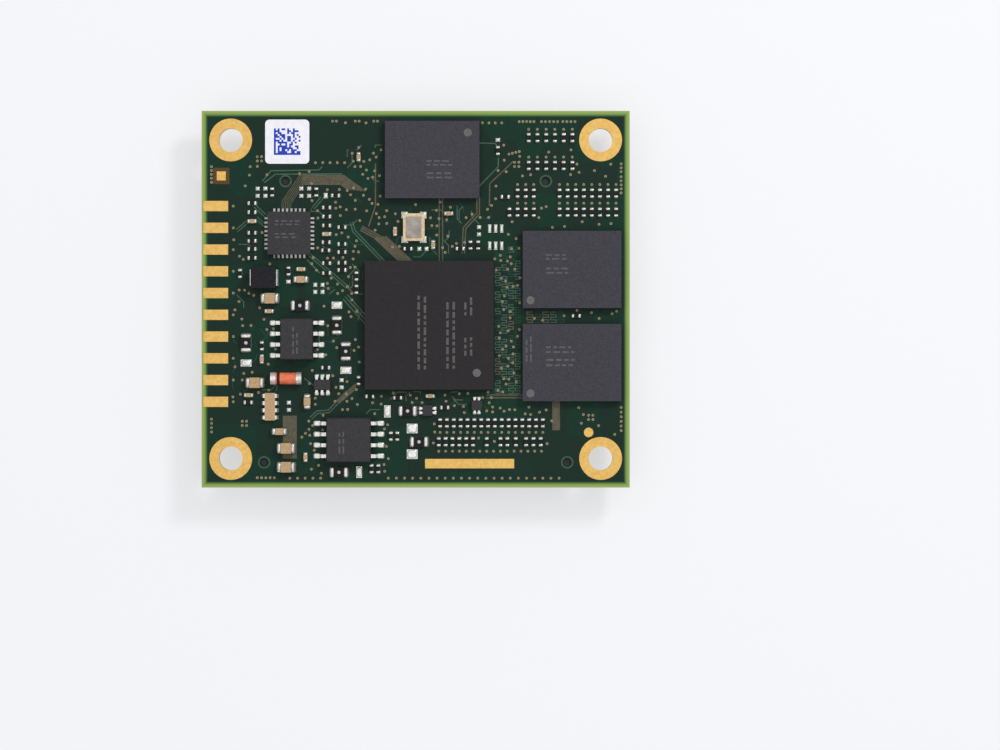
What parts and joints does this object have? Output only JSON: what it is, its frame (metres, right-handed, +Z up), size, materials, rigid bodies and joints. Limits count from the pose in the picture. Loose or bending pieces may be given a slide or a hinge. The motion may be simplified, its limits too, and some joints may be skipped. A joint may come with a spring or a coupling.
{
  "type": "system on module",
  "caption": "Small green computer module with a processor, memory chips and gold edge contacts on top and two board-to-board connectors below.",
  "frame": {"origin": "centre of the board outline, on the plane of the connector rims that the module stands on", "axes": "+X along the board, away from the edge contacts; +Y across the board; +Z up, out of the processor side"},
  "size_m": [0.05, 0.044, 0.0076],
  "materials": {
    "solder_mask": "green solder mask, semi-gloss",
    "gold": "gold plate",
    "tin": "bright solder and tin plate",
    "label_film": "white film, satin",
    "processor_mould": "black moulding compound, matt",
    "memory_mould": "dark grey moulding compound, matt",
    "chip_mould": "dark moulding compound, matt",
    "crystal_ceramic": "gilt ceramic, satin",
    "lid_metal": "plain metal, satin",
    "choke_black": "dark ferrite composite",
    "diode_glass": "orange glass, gloss",
    "capacitor_ceramic": "tan ceramic",
    "resistor_glaze": "black glaze on white ceramic",
    "connector_plastic": "dark slate plastic",
    "contact_gold": "gold plate over nickel",
    "watch_ceramic": "brown ceramic",
    "watch_metal": "brown tinted metal",
    "ferrite_grey": "grey ferrite"
  },
  "bodies": {
    "root": {"board": "solder_mask", "mounting_rings": "gold", "contact_fingers_top": "gold", "contact_fingers_low": "gold", "test_pads_top": "gold", "test_pads_low": "gold", "tinned_pads_top": "tin", "tinned_pads_low": "tin", "label_top": "label_film", "label_low": "label_film", "processor": "processor_mould", "processor_balls": "tin", "flash_memory": "memory_mould", "flash_balls": "tin", "working_memory_a": "memory_mould", "working_memory_b": "memory_mould", "memory_balls": "tin", "network_chip": "chip_mould", "network_contacts": "tin", "eeprom_body": "chip_mould", "eeprom_leads": "tin", "serial_flash_body": "chip_mould", "serial_flash_leads": "tin", "small_ic_bodies_top": "chip_mould", "small_ic_leads_top": "tin", "main_crystal_base": "crystal_ceramic", "main_crystal_lid": "lid_metal", "choke_top_body": "choke_black", "choke_top_terminals": "tin", "diode_glass": "diode_glass", "diode_caps": "tin", "array_body": "capacitor_ceramic", "array_terminals": "tin", "resistor_bodies_top": "resistor_glaze", "resistor_terminals_top": "tin", "jumper_bodies": "resistor_glaze", "jumper_terminals": "tin", "capacitor_bodies_top": "capacitor_ceramic", "capacitor_terminals_top": "tin", "long_connector_housing": "connector_plastic", "long_connector_contacts": "contact_gold", "short_connector_housing": "connector_plastic", "short_connector_contacts": "contact_gold", "power_chip": "chip_mould", "power_contacts": "tin", "second_crystal_base": "crystal_ceramic", "second_crystal_lid": "lid_metal", "watch_crystal_base": "watch_ceramic", "watch_crystal_lid": "watch_metal", "choke_bodies_low": "ferrite_grey", "choke_terminals_low": "tin", "bead_bodies": "ferrite_grey", "bead_terminals": "tin", "switch_body": "chip_mould", "switch_leads": "tin", "resistor_bodies_low": "resistor_glaze", "resistor_terminals_low": "tin", "capacitor_bodies_low": "capacitor_ceramic", "capacitor_terminals_low": "tin"}
  },
  "joints": []
}
